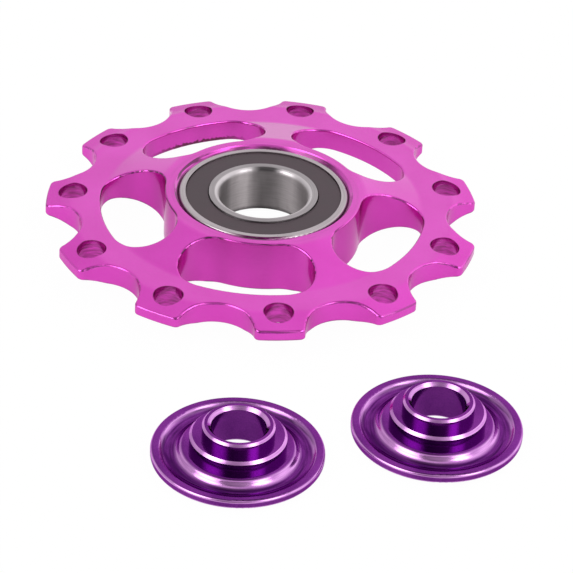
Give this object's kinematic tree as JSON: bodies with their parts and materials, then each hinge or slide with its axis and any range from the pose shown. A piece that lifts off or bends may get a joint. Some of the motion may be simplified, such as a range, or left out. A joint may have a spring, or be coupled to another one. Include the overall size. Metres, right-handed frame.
{
  "type": "derailleur jockey wheel",
  "caption": "Toothed aluminium derailleur jockey wheel with drilled teeth and lightening slots, turning on a sealed ball bearing, with turned end caps laid beside it.",
  "frame": {"origin": "centre of the bearing's bore, half-way through the wheel's thickness", "axes": "+Z along the spin axis, up from the surface that the wheel lies on; -Y towards the viewer, where the end caps lie"},
  "size_m": [0.047, 0.0675, 0.0054],
  "materials": {
    "wheel_anodised": "satin magenta anodised",
    "cap_anodised": "polished purple anodised",
    "bearing_steel": "ground",
    "ball_steel": "polished",
    "seal_rubber": "matte moulded",
    "cage_plastic": "moulded nylon"
  },
  "bodies": {
    "inner_side": {"bearing_inner_race": "bearing_steel", "left_end_cap": "cap_anodised", "right_end_cap": "cap_anodised"},
    "wheel": {"toothed_wheel": "wheel_anodised", "bearing_outer_race": "bearing_steel", "upper_seal": "seal_rubber", "lower_seal": "seal_rubber"},
    "cage": {"ball_cage": "cage_plastic"},
    "ball_1": {"ball_1": "ball_steel"},
    "ball_2": {"ball_2": "ball_steel"},
    "ball_3": {"ball_3": "ball_steel"},
    "ball_4": {"ball_4": "ball_steel"},
    "ball_5": {"ball_5": "ball_steel"},
    "ball_6": {"ball_6": "ball_steel"},
    "ball_7": {"ball_7": "ball_steel"},
    "ball_8": {"ball_8": "ball_steel"},
    "ball_9": {"ball_9": "ball_steel"}
  },
  "joints": [
    {"name": "wheel_spin", "type": "hinge", "parent": "inner_side", "child": "wheel", "pos_m": [0, 0, 0], "axis": [0, 0, 1], "continuous": true},
    {"name": "cage_spin", "type": "hinge", "parent": "inner_side", "child": "cage", "pos_m": [0, 0, 0], "axis": [0, 0, 1], "continuous": true},
    {"name": "ball_1_roll", "type": "hinge", "parent": "cage", "child": "ball_1", "pos_m": [0.0065, 0, 0], "axis": [0, 0, 1], "continuous": true},
    {"name": "ball_2_roll", "type": "hinge", "parent": "cage", "child": "ball_2", "pos_m": [0.00498, 0.00418, 0], "axis": [0, 0, 1], "continuous": true},
    {"name": "ball_3_roll", "type": "hinge", "parent": "cage", "child": "ball_3", "pos_m": [0.00113, 0.0064, 0], "axis": [0, 0, 1], "continuous": true},
    {"name": "ball_4_roll", "type": "hinge", "parent": "cage", "child": "ball_4", "pos_m": [-0.00325, 0.00563, 0], "axis": [0, 0, 1], "continuous": true},
    {"name": "ball_5_roll", "type": "hinge", "parent": "cage", "child": "ball_5", "pos_m": [-0.00611, 0.00222, 0], "axis": [0, 0, 1], "continuous": true},
    {"name": "ball_6_roll", "type": "hinge", "parent": "cage", "child": "ball_6", "pos_m": [-0.00611, -0.00222, 0], "axis": [0, 0, 1], "continuous": true},
    {"name": "ball_7_roll", "type": "hinge", "parent": "cage", "child": "ball_7", "pos_m": [-0.00325, -0.00563, 0], "axis": [0, 0, 1], "continuous": true},
    {"name": "ball_8_roll", "type": "hinge", "parent": "cage", "child": "ball_8", "pos_m": [0.00113, -0.0064, 0], "axis": [0, 0, 1], "continuous": true},
    {"name": "ball_9_roll", "type": "hinge", "parent": "cage", "child": "ball_9", "pos_m": [0.00498, -0.00418, 0], "axis": [0, 0, 1], "continuous": true}
  ],
  "couplings": [
    {"joint": "cage_spin", "follows": "wheel_spin", "ratio": 0.59158},
    {"joint": "ball_1_roll", "follows": "wheel_spin", "ratio": 2.6384},
    {"joint": "ball_2_roll", "follows": "wheel_spin", "ratio": 2.6384},
    {"joint": "ball_3_roll", "follows": "wheel_spin", "ratio": 2.6384},
    {"joint": "ball_4_roll", "follows": "wheel_spin", "ratio": 2.6384},
    {"joint": "ball_5_roll", "follows": "wheel_spin", "ratio": 2.6384},
    {"joint": "ball_6_roll", "follows": "wheel_spin", "ratio": 2.6384},
    {"joint": "ball_7_roll", "follows": "wheel_spin", "ratio": 2.6384},
    {"joint": "ball_8_roll", "follows": "wheel_spin", "ratio": 2.6384},
    {"joint": "ball_9_roll", "follows": "wheel_spin", "ratio": 2.6384}
  ]
}
